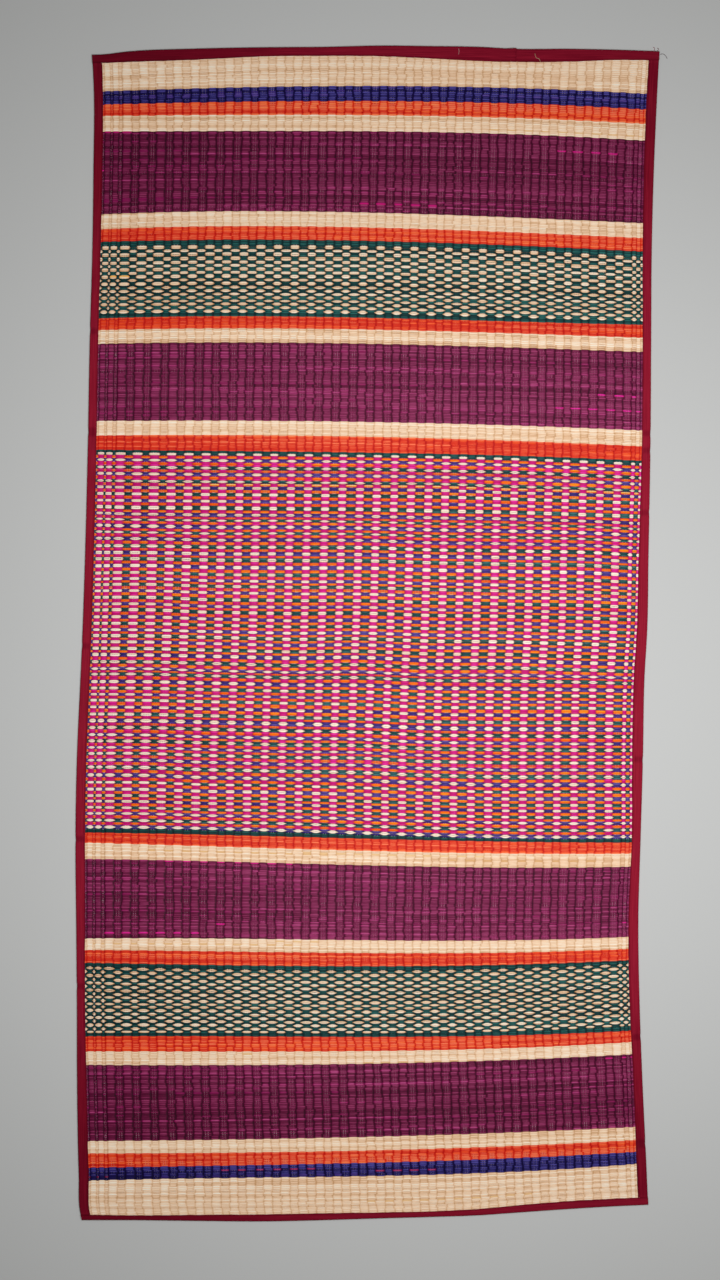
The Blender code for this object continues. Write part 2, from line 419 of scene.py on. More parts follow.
class Finish:
    """A material, made node by node."""

    def __init__(self, name):
        self.material = bpy.data.materials.new(name)
        self.material.use_nodes = True
        self.nodes = self.material.node_tree.nodes
        self.links = self.material.node_tree.links
        self.shader = self.nodes["Principled BSDF"]

    def plug(self, socket, value):
        if isinstance(value, Signal):
            self.links.new(value.socket, socket)
        else:
            socket.default_value = value

    def node(self, kind, settings=None, inputs=None, output=0):
        """Add a node: its settings first, then the values or links of its sockets."""
        made = self.nodes.new(kind)
        for name, value in (settings or {}).items():
            if name == "stops":
                self.set_stops(made.color_ramp, value)
            else:
                setattr(made, name, value)
        for place, value in (inputs or {}).items():
            self.plug(made.inputs[place], value)
        return Signal(self, made.outputs[output])

    def set_stops(self, ramp, stops):
        while len(ramp.elements) < len(stops):
            ramp.elements.new(1)
        for stop, (place, colour) in zip(ramp.elements, stops):
            stop.position = place
            stop.color = colour

    def attribute(self, name):
        return self.node("ShaderNodeAttribute", {"attribute_name": name}, output="Fac")

    def streaks(self, lengthwise, crosswise, detail):
        """Noise drawn out along a strand or tape, by its own flat coordinates in metres."""
        flat = self.node("ShaderNodeUVMap", {"uv_map": "grain"})
        scale = (lengthwise, crosswise, 1)
        drawn = self.node("ShaderNodeVectorMath", {"operation": "MULTIPLY"}, {0: flat, 1: scale})
        texture = {"Vector": drawn, "Scale": 1.0, "Detail": detail, "Roughness": 0.6}
        return self.node("ShaderNodeTexNoise", {"noise_dimensions": "2D"}, texture)

    def paint(self, share, stops, roughness):
        """Colour by a share from 0 to 1, through stops, and how rough that leaves it."""
        stops = [(place, shade(colour)) for place, colour in stops]
        colour = self.node("ShaderNodeValToRGB", {"stops": stops}, {"Fac": share})
        self.plug(self.shader.inputs["Base Color"], colour)
        self.plug(self.shader.inputs["Roughness"], roughness)

    def bump(self, height, distance, strength):
        inputs = {"Height": height, "Distance": distance, "Strength": strength}
        self.plug(self.shader.inputs["Normal"], self.node("ShaderNodeBump", {}, inputs))


def linear(channel):
    """One channel of a screen colour, 0 to 255, as linear light."""
    share = channel / 255
    return share / 12.92 if share <= 0.04045 else ((share + 0.055) / 1.055) ** 2.4


def shade(colour):
    return (*(linear(channel) for channel in colour), 1)


def grass_finish(dye):
    """Split grass that took a dye: painted shade in its dips, crowns worn paler with a painted
    highlight.
    """
    finish = Finish("grass_" + dye.name)
    tint = finish.attribute("tint")
    rise = finish.attribute("rise")
    crown = finish.attribute("crown")
    fibres = finish.streaks(lengthwise=70, crosswise=1800, detail=3)
    # Painted light and shade: a highlight on the crowns, shade in the dips and at the strands'
    # edges, and light to the right, with the grass's own tone and fibres
    tone_and_shading = rise * GRASS_RISE + tint * GRASS_TINT + fibres * GRASS_FIBRES
    tone_and_shading = tone_and_shading + crown * GRASS_CROWN - GRASS_START
    stops = [(0.0, dye.dip), (0.5, dye.body), (1.0, dye.crown)]
    finish.paint(tone_and_shading, stops, roughness=0.62 - fibres * 0.25)
    finish.shader.inputs["Specular IOR Level"].default_value = 0.12
    finish.bump(fibres, distance=0.00012, strength=0.5)
    return finish.material


def cotton_finish():
    """Undyed cotton thread, twisted."""
    finish = Finish("warp_cotton")
    fibres = finish.streaks(lengthwise=900, crosswise=900, detail=2)
    finish.paint(fibres, zip((0.25, 0.8), COTTON), roughness=0.75 + fibres * 0.2)
    return finish.material


def thread_finish(name, colour):
    """Sewing thread of one colour, its twist a little darker."""
    finish = Finish(name + "_cotton")
    twist = finish.streaks(lengthwise=1400, crosswise=500, detail=2)
    darker = tuple(channel * TWIST_DARKER for channel in colour)
    finish.paint(twist, [(0.3, darker), (0.7, colour)], roughness=0.7 + twist * 0.2)
    return finish.material


def tape_finish():
    """Maroon cotton tape: faint lengthwise streaks, paler on its upper face, painted shade in
    creases.
    """
    finish = Finish("maroon_tape")
    face_paleness = finish.attribute("rise")
    tint = finish.attribute("tint")
    streaks = finish.streaks(lengthwise=14, crosswise=900, detail=4)
    weave = finish.streaks(lengthwise=2600, crosswise=2600, detail=1)
    tone_and_shading = streaks * TAPE_STREAKS + weave * TAPE_WEAVE + face_paleness * TAPE_FACE + tint - TAPE_START
    finish.paint(tone_and_shading, zip((0.1, 0.5, 0.9), MAROON), roughness=0.85 - streaks * 0.2)
    finish.shader.inputs["Specular IOR Level"].default_value = 0.07
    finish.bump(weave * 0.5 + streaks, distance=0.0002, strength=0.5)
    return finish.material


# The weave's own coordinates


def column_line(place, along, nudges):
    """X of a place counted in columns from the left, at a place along the mat."""
    left = side("left", along) + side("left_tape", along)
    right = side("right", along) - side("right_tape", along)
    outer_left = left - UNDER_SIDE_TAPE
    outer_right = right + UNDER_SIDE_TAPE
    first = left + LEFT_SELVEDGE
    last = right - RIGHT_SELVEDGE
    in_left = outer_left + (first - outer_left) * place / NARROW_LEFT
    in_middle = first + (last - first) * (place - NARROW_LEFT) / EVEN
    in_right = last + (outer_right - last) * (place - NARROW_LEFT - EVEN) / NARROW_RIGHT
    x = np.where(place < NARROW_LEFT, in_left, in_middle)
    x = np.where(place > NARROW_LEFT + EVEN, in_right, x)
    return x + np.interp(place, np.arange(COLUMNS + 1), nudges)


def stripe_edge(stripe, x):
    """Y of a stripe's lower edge."""
    if stripe.left is None:
        return end("bottom", x) + end("bottom_tape", x) - UNDER_BOTTOM_TAPE
    edge = [stripe.left, stripe.middle_left, stripe.middle_right, stripe.right]
    return np.polyval(np.polyfit(STRIPE_PLACES, edge, len(edge) - 1), x) * MILLIMETRE


def wander(count, knots, places):
    """Random curves, each smooth along the width and between -1 and 1."""
    marks = rng.uniform(-1, 1, (count, knots))
    at = np.linspace(0, knots - 1, places)
    low = np.minimum(at.astype(int), knots - 2)
    t = ease(0, 1, at - low)
    return marks[:, low] * (1 - t) + marks[:, low + 1] * t


QUARTERS = 4
PLACES = COLUMNS * QUARTERS + 1


def row_lines(nudges):
    """Y of the line above every row and below the last, at every quarter of a column."""
    places = np.arange(PLACES) / QUARTERS
    x = column_line(places, NEAR_TOP, nudges)
    above = end("top", x) - end("top_tape", x) + UNDER_TOP_TAPE
    lines = [above]
    for stripe in STRIPES:
        for _ in range(2):
            below = stripe_edge(stripe, x)
            x = column_line(places, (above + below) / 2, nudges)
        weights = np.clip(1 + ROW_UNEVEN * rng.standard_normal(stripe.rows), *ROW_LIMITS)
        drift = ROW_DRIFT * wander(stripe.rows, ROW_WAVES, PLACES)
        weights = weights[:, None] * (1 + drift)
        reached = np.cumsum(weights, axis=0) / weights.sum(axis=0)
        lines.extend(above + (below - above) * share for share in reached)
        above = below
    return np.array(lines)


BUNDLES = 2
STRANDS = 2

# A float's crown and shoulder: their places past the crossing, and how far a shoulder has risen
CROWN = 0.5
SHOULDER = 0.19
SHOULDER_LIFT = 0.55

# How a row's two bundles lie between the lines above and below the row, as shares of its height.
# The first five have a value for each bundle.
# crossings: where each strand passes its neighbour between two columns, and halves there
# shoulders: how far each bundle has opened out by its shoulder
# middles: where each strand floats, and halves there
# height: how high the two bundles pass each other
# glow: how pale they are there and at a shoulder, beside 1 in the middle of a float, which paints
#     shade where they pass and a highlight on the float
# odd: how pale the painted highlight on the floats over the odd columns is beside the others
# lean: how much paler the painted highlight is on the even columns at the left side, and on the odd
#     ones at the right
# reach: how far each end of a float over an even column reaches into the next column, in metres,
#     where the change starts and where it ends; in a plain row, at the left and at the right side
Passing = namedtuple(
    "Passing", "crossings crossing_halves shoulders middles halves height glow odd lean reach"
)
BY_BUNDLE = 5
STRAIGHT = Passing(
    crossings=((0.25, 0.75), (0.25, 0.75)),
    crossing_halves=(0.25, 0.25),
    shoulders=(0.85, 0.85),
    middles=((0.18, 0.68), (0.32, 0.82)),
    halves=(0.265, 0.255),
    height=0.0027,
    glow=(-0.2, 0.85),
    odd=1.0,
    lean=0.1,
    reach=(0.0008, -0.0006),
)
NATURAL = STRAIGHT._replace(glow=(0.6, 0.9), lean=0.42)
LOOSE = STRAIGHT._replace(halves=(0.262, 0.228), height=0.0023, glow=(-0.7, 0.9), lean=0.17)
PLAIN = (STRAIGHT, NATURAL, LOOSE)

# Light strands pass inside the darker ones beside them: the first bundle's or the second's
FIRST_INSIDE = Passing(
    crossings=((0.42, 0.58), (0.16, 0.84)),
    crossing_halves=(0.08, 0.17),
    shoulders=(0.70, 0.98),
    middles=((0.285, 0.715), (0.235, 0.765)),
    halves=(0.192, 0.295),
    height=0.0019,
    glow=(0.0, 0.6),
    odd=0.75,
    lean=0.0,
    reach=(0.0011, -0.0005),
)
SWAPPED = [pair[::-1] for pair in FIRST_INSIDE[:BY_BUNDLE]]
FIRST_OUTSIDE = Passing(*SWAPPED, *FIRST_INSIDE[BY_BUNDLE:])._replace(reach=(0.0011, -0.0009))
ORANGE_INSIDE = FIRST_OUTSIDE._replace(
    middles=((0.225, 0.775), (0.31, 0.69)),
    halves=(0.305, 0.185),
    reach=(-0.0002, -0.0009),
)
PASSINGS = {
    "natural": NATURAL,
    "indigo": LOOSE,
    "red": STRAIGHT,
    "green": STRAIGHT,
    "purple": LOOSE,
    ("natural", "green"): FIRST_INSIDE,
    ("green", "natural"): FIRST_OUTSIDE,
    ("cream", "teal"): FIRST_INSIDE,
    ("cream", "violet"): FIRST_INSIDE,
    ("pink", "orange"): ORANGE_INSIDE,
}

# Where the strands of each bundle lie while they run below, and half their width there
UNDER = ((0.0, 0.5), (0.5, 1.0))
UNDER_HALF = 0.29

# How square the ends of the inner floats are where their strands lie side by side, how much of
# that a row has, how far rows differ from it, and in how many waves down the mat
SQUARE_SHOULDER = 0.97
SQUARE_CROSSING = 0.26
SQUARE_MEAN = 0.55
SQUARE_SPREAD = 0.25
SQUARE_WAVES = 40


def is_even(column):
    """Whether a column counted from the left tape is one that the first bundle floats over."""
    return column % 2 == 1


Plan = namedtuple("Plan", "place across floats column step faces")


def strand_plan(bundle):
    """One strand from tape to tape as points, counted in columns, and the faces between them.

    It is two points wide where it passes its partner or runs below, and three where it floats.
    Each face is its corners and its column.
    """
    points = []
    faces = {3: [], 4: []}
    before = []
    for column in range(COLUMNS + 1):
        over = is_even(column) == (bundle == 0)
        steps = (0, SHOULDER, CROWN, 1 - SHOULDER) if over else (0, CROWN)
        for step in steps if column < COLUMNS else (0,):
            sides = (-1, 0, 1) if over and step else (-1, 1)
            here = []
            for across in sides:
                here.append(len(points))
                points.append((column + step, across, over and step > 0, column, step))
            for face in bridge(before, here):
                faces[len(face)].append((*face, points[before[0]][3]))
            before = here
    place, across, floats, column, step = (np.array(part) for part in zip(*points))
    faces = {size: np.array(group) for size, group in faces.items()}
    return Plan(place, across, floats, np.minimum(column, COLUMNS - 1), step, faces)


def bridge(before, here):
    """Faces between two stations of a strand, each two or three points wide."""
    if not before:
        return []
    if len(before) == len(here):
        pairs = range(len(here) - 1)
        return [(before[k], before[k + 1], here[k + 1], here[k]) for k in pairs]
    if len(before) < len(here):
        a, b = before
        c, d, e = here
        return [(a, d, c), (a, b, d), (b, e, d)]
    a, b, c = before
    d, e = here
    return [(a, b, d), (b, e, d), (b, c, e)]


def dye_rows():
    """The dye of every strand at every column, and the way each row's bundles pass."""
    dyes = []
    passings = []
    for stripe in STRIPES:
        cycle = WEAVES[stripe.weave]
        strays = [stray for stray in STRAYS if stray.weave == stripe.weave]
        for row in range(stripe.rows):
            pair = cycle[row % len(cycle)]
            strands = np.empty((BUNDLES, STRANDS, COLUMNS), int)
            strands[:] = np.array([DYE_NUMBERS[dye] for dye in pair])[:, None, None]
            for stray in strays:
                for strand in strands.reshape(-1, COLUMNS):
                    if rng.random() < stray.often:
                        start = rng.integers(-stray.longest // 2, COLUMNS)
                        stop = start + rng.integers(2, stray.longest)
                        strand[max(start, 0) : stop] = DYE_NUMBERS[stray.dye]
            for single in SINGLES:
                if (single.piece, single.row) == (stripe.piece, row):
                    strands[single.bundle, 0, single.start : single.stop] = DYE_NUMBERS[single.dye]
            dyes.append(strands)
            passings.append(PASSINGS[pair[0] if pair[0] == pair[1] else pair])
    return np.array(dyes), passings


def grass_tints_and_light(passings, dyes, x):
    """How pale each strand is at each column: a few lengths of grass, joined at a dip.

    The strands of a plain row were laid in together, so its two bundles are nearly alike. The dyed
    grass is painted a little paler from the middle of the mat to its right side, as light from that
    side.
    """
    tints = np.empty((len(passings), BUNDLES, STRANDS, COLUMNS))
    for strand in tints.reshape(-1, COLUMNS):
        joints = np.sort(rng.integers(0, COLUMNS, rng.integers(0, MOST_LENGTHS)))
        for length in np.split(strand, joints):
            length[:] = rng.uniform(0, 1)
    # Painted light from the right side, on all but the plain natural rows and the cream strands
    paler = PAINTED_LIGHT_RIGHT * ease(CHANGE_FROM, CHANGE_TO, x)
    for row, passing in enumerate(passings):
        if passing in PLAIN:
            tints[row, 1] = tints[row, 0] * ALIKE + tints[row, 1] * (1 - ALIKE)
        if passing is not NATURAL:
            tints[row] += paler * (dyes[row] != DYE_NUMBERS["cream"])
    return tints


def float_shifts(x, passings):
    """How far each crossing between two columns moves, row by row, to lengthen a float."""
    columns = np.arange(COLUMNS + 1)
    toward_even = np.where(is_even(columns), -1.0, 1.0)
    changed = ease(CHANGE_FROM, CHANGE_TO, x)
    shifts = np.empty((len(passings), COLUMNS + 1))
    for row, passing in enumerate(passings):
        plain = passing in PLAIN
        left, right = passing.reach
        shifts[row] = left + (right - left) * (columns / COLUMNS if plain else changed)
        shifts[row] *= toward_even
        shifts[row] += (PLAIN_JITTER if plain else CROSSING_JITTER) * rng.standard_normal(len(x))
    shifts[:, columns <= NARROW_LEFT] *= SHARE_NARROW_LEFT
    shifts[:, columns > NARROW_LEFT + EVEN] *= SHARE_NARROW_RIGHT
    return shifts


def pinched(x, y, z):
    """Squeeze a height to fit between the two layers of the tape, near its inner edge."""
    inside = np.minimum.reduce([
        x - side("left", y) - side("left_tape", y),
        side("right", y) - side("right_tape", y) - x,
        end("top", x) - end("top_tape", x) - y,
        y - end("bottom", x) - end("bottom_tape", x),
    ])
    grip = 1 - ease(PINCH_END, PINCH_START, inside)
    flat = PINCH_LOW + (PINCH_HIGH - PINCH_LOW) * z / CROWN_HEIGHT
    return z + (flat - z) * grip


def mesh_piece(name, points, faces, materials, values, maps, face_materials=None):
    """A named mesh from lists of arrays: points, corner numbers, values at points, flat maps.

    A flat map has a place for every point, or for every corner of the faces in their order. Where
    there are several materials, face_materials has each face's.
    """
    mesh = bpy.data.meshes.new(name)
    points = np.concatenate(points)
    mesh.vertices.add(len(points))
    mesh.vertices.foreach_set("co", points.astype(np.float32).ravel())
    corners = np.concatenate([group.ravel() for group in faces])
    sizes = np.concatenate([np.full(len(group), group.shape[1]) for group in faces])
    mesh.loops.add(len(corners))
    mesh.loops.foreach_set("vertex_index", corners.astype(np.int32))
    mesh.polygons.add(len(sizes))
    mesh.polygons.foreach_set("loop_start", (np.cumsum(sizes) - sizes).astype(np.int32))
    for material in materials:
        mesh.materials.append(material)
    if face_materials:
        numbers = np.concatenate(face_materials).astype(np.int32)
        mesh.polygons.foreach_set("material_index", numbers)
    mesh.update(calc_edges=True)
    for key, parts in values.items():
        made = mesh.attributes.new(key, "FLOAT", "POINT")
        made.data.foreach_set("value", np.concatenate(parts).astype(np.float32))
    for key, parts in maps.items():
        layer = mesh.uv_layers.new(name=key)
        flat = np.concatenate(parts)
        flat = flat[corners] if len(flat) == len(points) else flat
        layer.uv.foreach_set("vector", flat.astype(np.float32).ravel())
    mesh.shade_smooth()
    return put(name, mesh)


def put(name, data, place=(0, 0, 0)):
    """A named thing in the scene."""
    thing = bpy.data.objects.new(name, data)
    bpy.context.scene.collection.objects.link(thing)
    thing.location = place
    return thing


Strands = namedtuple("Strands", "points faces dyes values maps")
PLANS = [strand_plan(bundle) for bundle in range(BUNDLES)]


def lay_strands(cloth, rows, bundle, strand):
    """One strand of a bundle in each of some rows, with what its finish reads."""
    plan = PLANS[bundle]
    lie = Passing(*(np.array(part) for part in zip(*(cloth.passings[row] for row in rows))))
    below = (plan.step > 0) & ~plan.floats
    at_crown = plan.step == CROWN
    at_shoulder = (plan.step > 0) & ~at_crown

    def squared(values, limit):
        return values + np.maximum(limit - values, 0) * cloth.squares[rows][:, None]

    opened = at_crown + at_shoulder * squared(lie.shoulders[:, [bundle]], SQUARE_SHOULDER)
    over_half = lie.halves[:, [bundle]] * cloth.widths[rows, bundle, [strand]][:, None]
    crossing_half = squared(lie.crossing_halves[:, [bundle]], SQUARE_CROSSING)
    middle = np.where(below, UNDER[bundle][strand], lie.middles[:, bundle, [strand]])
    middle = lie.crossings[:, bundle, [strand]] * (1 - opened) + middle * opened
    half = np.where(below, UNDER_HALF, over_half)
    half = crossing_half * (1 - opened) + half * opened
    quarter = np.rint(plan.place * QUARTERS).astype(int)
    above = cloth.lines[np.ix_(rows, quarter)]
    pitch = cloth.lines[np.ix_(rows + 1, quarter)] - above
    y = above + pitch * (middle + plan.across * half)

    part = plan.place - plan.column
    shift = cloth.shifts[np.ix_(rows, plan.column)] * (1 - part)
    shift = shift + cloth.shifts[np.ix_(rows, plan.column + 1)] * part
    x = column_line(plan.place, y, cloth.nudges) + shift

    risen = at_crown + at_shoulder * SHOULDER_LIFT
    height = plan.floats * CROWN_HEIGHT * risen + lie.height[:, None] * (1 - risen)
    height = height - DROOP * np.abs(plan.across) * risen * plan.floats
    z = pinched(x, y, np.maximum(height, CLEAR_OF_FLOOR))

    # Painted light: a highlight on each float's crown and shoulder, and shade where the strands
    # pass between two columns
    lean = np.where(is_even(plan.column), 1, -1) * (1 - 2 * plan.place / COLUMNS)
    glow = (at_crown + at_shoulder * lie.glow[:, [1]]) * (1 + lie.lean[:, None] * lean)
    glow = glow * np.where(is_even(plan.column), 1, lie.odd[:, None])
    glow = glow + (plan.step == 0) * lie.glow[:, [0]]
    values = {
        "tint": cloth.tints[rows, bundle, strand][:, plan.column],
        "rise": np.broadcast_to(glow, x.shape),
        # Painted shade at each strand's edges, between the rows: 1 in the middle of its width, 0 at
        # its edges
        "crown": np.broadcast_to(1 - np.abs(plan.across), x.shape),
    }
    number = (rows[:, None] * BUNDLES + bundle) * STRANDS + strand
    band = number - rows[0] * BUNDLES * STRANDS
    bands = len(rows) * BUNDLES * STRANDS
    grain_v = number * APART_IN_GRAIN + plan.across * half * pitch
    bake_u = np.broadcast_to(plan.place / COLUMNS, x.shape)
    bake_v = (band + 0.5 + BAKE_HALF * plan.across) / bands
    starts = (np.arange(len(rows)) * len(plan.place))[:, None, None]
    dyes = cloth.dyes[rows, bundle, strand]
    return Strands(
        beside(x, y, z).reshape(-1, 3),
        {size: (starts + group[:, :-1]).reshape(-1, size) for size, group in plan.faces.items()},
        {size: dyes[:, group[:, -1]].ravel() for size, group in plan.faces.items()},
        {key: value.ravel() for key, value in values.items()},
        {
            "grain": beside(x, grain_v).reshape(-1, 2),
            "OFBake": beside(bake_u, bake_v).reshape(-1, 2),
        },
    )


def weave_piece(name, rows, cloth, materials):
    """One stripe of the mat, or several, as a mesh of grass strands."""
    made = [
        lay_strands(cloth, rows, bundle, strand)
        for bundle in range(BUNDLES)
        for strand in range(STRANDS)
    ]
    sizes = list(made[0].faces)
    starts = np.cumsum([0] + [len(part.points) for part in made[:-1]])
    faces = [start + part.faces[size] for size in sizes for start, part in zip(starts, made)]
    dyes = [part.dyes[size] for size in sizes for part in made]
    used = np.unique(np.concatenate(dyes))
    points = [part.points for part in made]
    thing = mesh_piece(
        name,
        points,
        faces,
        [materials[DYES[number].name] for number in used],
        {key: [part.values[key] for part in made] for key in made[0].values},
        {key: [part.maps[key] for part in made] for key in made[0].maps},
        [np.searchsorted(used, group) for group in dyes],
    )
    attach(thing, "root")
    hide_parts("woven_mat")


Cloth = namedtuple("Cloth", "lines nudges shifts passings dyes tints widths squares")


def lay_out_weave():
    """All that the strands share: their lines, ways of passing, dyes, tones and widths."""
    columns = np.arange(COLUMNS + 1)
    nudges = LINE_JITTER * rng.standard_normal(COLUMNS + 1)
    narrow = columns < NARROW_LEFT
    nudges = nudges + narrow * np.where(is_even(columns), -1, 1) * WIDER_EVEN
    nudges[[0, -1]] = 0
    lines = row_lines(nudges)
    dyes, passings = dye_rows()
    shifts = float_shifts(column_line(columns, 0.0, nudges), passings)
    tints = grass_tints_and_light(passings, dyes, column_line(columns[1:] - 0.5, 0.0, nudges))
    # A painted sheen: the purple stripes beside the centre are paler, for the light above the
    # middle of the mat
    pieces = np.array([stripe.piece for stripe in STRIPES for _ in range(stripe.rows)])
    tints = tints + MIDDLE_SHEEN * np.isin(pieces, MIDDLE_SHEEN_PIECES)[:, None, None, None]
    widths = 1 + STRAND_UNEVEN * rng.standard_normal((len(dyes), BUNDLES, STRANDS))
    thin = rng.random((len(dyes), BUNDLES, 1)) < THIN_OFTEN
    widths = np.clip(widths, *STRAND_LIMITS) * np.where(thin, THIN, 1)
    squares = SQUARE_MEAN + wander(1, SQUARE_WAVES, len(dyes))[0]
    squares = np.clip(squares + rng.normal(0, SQUARE_SPREAD, len(dyes)), 0, 1)
    return Cloth(lines, nudges, shifts, passings, dyes, tints, widths, squares)


def weave_mat(cloth, materials):
    """Every piece of the weave, from the top end down."""
    names = [stripe.piece for stripe in STRIPES for _ in range(stripe.rows)]
    for name in dict.fromkeys(names):
        rows = np.array([row for row, piece in enumerate(names) if piece == name])
        if name == "centre":
            for part, some in enumerate(np.array_split(rows, CENTRE_PIECES), 1):
                weave_piece(f"grass_{name}_{part}", some, cloth, materials)
        else:
            weave_piece("grass_" + name, rows, cloth, materials)


# The warp: its steps, how far a thread lies from the middle of its column and strays, its ridge as
# offsets and heights, and its place in its band of the map for baking
WARP_STEPS = 60
WARP_APART = 0.0019
WARP_JITTER = 0.0002
WARP_PROFILE = ((-0.0004, 0.0014), (0.0, 0.0018), (0.0004, 0.0014))
WARP_BAKE_START = 0.2
WARP_BAKE_STEP = 0.3


def warp_threads(cloth, material):
    """Twin cotton threads along the middle of each column, held between the strands."""
    top = cloth.lines[0]
    bottom = cloth.lines[-1]
    threads = [(column + 0.5, apart) for column in range(COLUMNS) for apart in (-1, 1)]
    points = []
    grain = []
    bake = []
    for number, (place, apart) in enumerate(threads):
        spread = WARP_APART if NARROW_LEFT <= place < NARROW_LEFT + EVEN else WARP_APART / 2
        start = np.interp(place * QUARTERS, np.arange(PLACES), top)
        stop = np.interp(place * QUARTERS, np.arange(PLACES), bottom)
        y = np.linspace(start, stop, WARP_STEPS + 1)
        line = column_line(np.full_like(y, place), y, cloth.nudges) + apart * spread
        line = line + WARP_JITTER * rng.standard_normal(len(y))
        for across, (offset, height) in enumerate(WARP_PROFILE):
            z = pinched(line, y, np.full_like(y, height))
            points.append(beside(line + offset, y, z))
            grain.append(beside(line + offset, y))
            band = number + WARP_BAKE_START + WARP_BAKE_STEP * across
            v = np.full_like(y, band / len(threads))
            bake.append(beside(np.linspace(0, 1, len(y)), v))
    steps = WARP_STEPS + 1
    first = np.arange(len(threads))[:, None] * len(WARP_PROFILE) * steps
    strip = np.arange(WARP_STEPS)[None, :]
    faces = []
    for side_of_ridge in range(len(WARP_PROFILE) - 1):
        a = first + side_of_ridge * steps + strip
        faces.append(strip_faces(a, a + steps).reshape(-1, 4))
    maps = {"grain": grain, "OFBake": bake}
    thing = mesh_piece("warp_threads", points, faces, [material], {}, maps)
    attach(thing, "root")


# The tape

# The shares of the face's width that count as its inner edge and as the rim
AT_INNER_EDGE = 0.9
AT_RIM = 0.1

# The tape's flat map for baking: its length and girth as a box, and its two end caps beside that
BAKE_START = 0.01
BAKE_LENGTH = 0.92
BAKE_GIRTH = 0.98
NEAR_CAP = (0.945, 0.05)
FAR_CAP = (0.97, 0.05)
CAP_INSET = 0.6
CAP_WIDTH = 0.014
CAP_HEIGHT = 200


def tape_section():
    """The folded cloth's section: distances in from the rim, shares of its width, heights."""
    upper = [(point.inset, point.tapes, TAPE_HEIGHT - point.below) for point in FOLD]
    lower = [(inset, tapes, TAPE_HEIGHT - height) for inset, tapes, height in reversed(upper)]
    inside = [(CLOTH, 0.0, CLOTH), (CLOTH, 0.0, TAPE_HEIGHT - CLOTH)]
    return upper + lower + inside


def tape_girth(section):
    """How far each point of a section lies along the cloth, and the way round in all."""
    girth = [0]
    for here, there in zip(section, section[1:] + section[:1]):
        inset, tapes, height = (abs(a - b) for a, b in zip(here, there))
        girth.append(girth[-1] + inset + TAPE_WIDTH * tapes + height)
    return np.array(girth)


def tape_tint_and_shade(name, x, y):
    """How pale a tape is at a place, with painted shade towards the mat's corners."""
    tone = TAPE_TONES[name]
    away = np.hypot(np.abs(x) - CORNER_X, np.abs(y) - CORNER_Y)
    # Painted shade, where the light falls off towards the mat's corners
    darker = np.where(x < 0, tone.left_corner, tone.right_corner)
    return tone.pale - darker * (1 - ease(0, CORNER_REACH, away))


def sweep_tape(name, node, length, carry, material, creases=(), lap=0.0):
    """A folded tape along an edge. carry gives the place of a point of its section.

    creases are shares of its length, and lap the share by which its upper layer runs on past its
    far end, over the next tape.
    """
    section = tape_section()
    count = len(section)
    steps = max(2, round(length / TAPE_STEP))
    stations = steps + 1
    share = np.linspace(0, 1, stations)
    puckers, dips, _ = wander(3, round(length / PUCKER_LENGTH), stations)
    sink = np.zeros(stations)
    for crease in creases:
        sink += CREASE_DEPTH * np.exp(-(((share - crease) * length / CREASE_REACH) ** 2))
    climb = np.zeros(stations)
    if lap:
        climb = LAP_RISE * ease(1 - LAP_FOOT / length, 1 - LAP_TOP / length, share)
    stretch = lap * ease(1 - LAP_STRETCH / length, 1, share)
    girth = tape_girth(section)
    points = []
    rises = []
    tints = []
    grain = []
    for number, (inset, tapes, height) in enumerate(section):
        above = height > TAPE_HEIGHT / 2
        sway = 0.0
        if tapes > AT_INNER_EDGE:
            sway = SWAY * puckers + FRAY * rng.standard_normal(stations)
        on_face = above and AT_RIM < tapes < AT_INNER_EDGE
        dip = DIP * (1 + dips) if on_face else 0.0
        x, y = carry(share + stretch * above, inset + sway + (sink - climb) * (tapes == 0), tapes)
        z = height + (climb - dip - sink) * above
        points.append(beside(x, y, z))
        # Paler on the upper face than at the inner edge and beneath; less pale on a crease, which
        # paints shade there
        face_paleness = float(above and tapes < AT_INNER_EDGE)
        rises.append(np.where(sink > CREASE_DEPTH / 3, CREASE_SHADED_PALENESS, face_paleness))
        tints.append(tape_tint_and_shade(name, x, y))
        grain.append(beside(share * length, np.full_like(x, girth[number])))
    strip = np.arange(steps)
    u = BAKE_START + BAKE_LENGTH * share
    v = BAKE_START + BAKE_GIRTH * girth / girth[-1]
    faces = []
    bake = []
    for number in range(count):
        a = number * stations + strip
        b = (number + 1) % count * stations + strip
        faces.append(strip_faces(a, b))
        around = np.broadcast_to(v[[number, number, number + 1, number + 1]], (steps, 4))
        bake.append(beside(u[strip[:, None] + (0, 1, 1, 0)], around).reshape(-1, 2))
    ends = np.array([np.arange(count)[::-1] * stations, np.arange(count) * stations + steps])
    inset, tapes, height = np.array(section).T
    cap = beside(inset * CAP_INSET + tapes * CAP_WIDTH, height * CAP_HEIGHT)
    bake.append(cap[::-1] + NEAR_CAP)
    bake.append(cap + FAR_CAP)
    values = {"rise": rises, "tint": tints}
    maps = {"grain": grain, "OFBake": bake}
    thing = mesh_piece(name, points, faces + [ends], [material], values, maps)
    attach(thing, "root")
    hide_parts(node)
    return thing


def bind_side(name, edge, material):
    """A tape down a long side, between the two end tapes."""
    sign = 1 if edge == "left" else -1
    x = side(edge, NEAR_END) + sign * MID_TAPE
    stop = end("top", x) - end("top_tape", x) - CLEARANCE
    x = side(edge, -NEAR_END) + sign * MID_TAPE
    start = end("bottom", x) + end("bottom_tape", x) + CLEARANCE

    def carry(share, inset, tapes):
        y = start + (stop - start) * share
        return side(edge, y) + sign * (inset + tapes * side(edge + "_tape", y)), y

    creases = [(place - start) / (stop - start) for place in CREASES[edge]]
    thing = sweep_tape("cloth_" + edge, name, stop - start, carry, material, creases)
    widths = side(edge + "_tape", np.linspace(start, stop, WIDTH_PLACES))


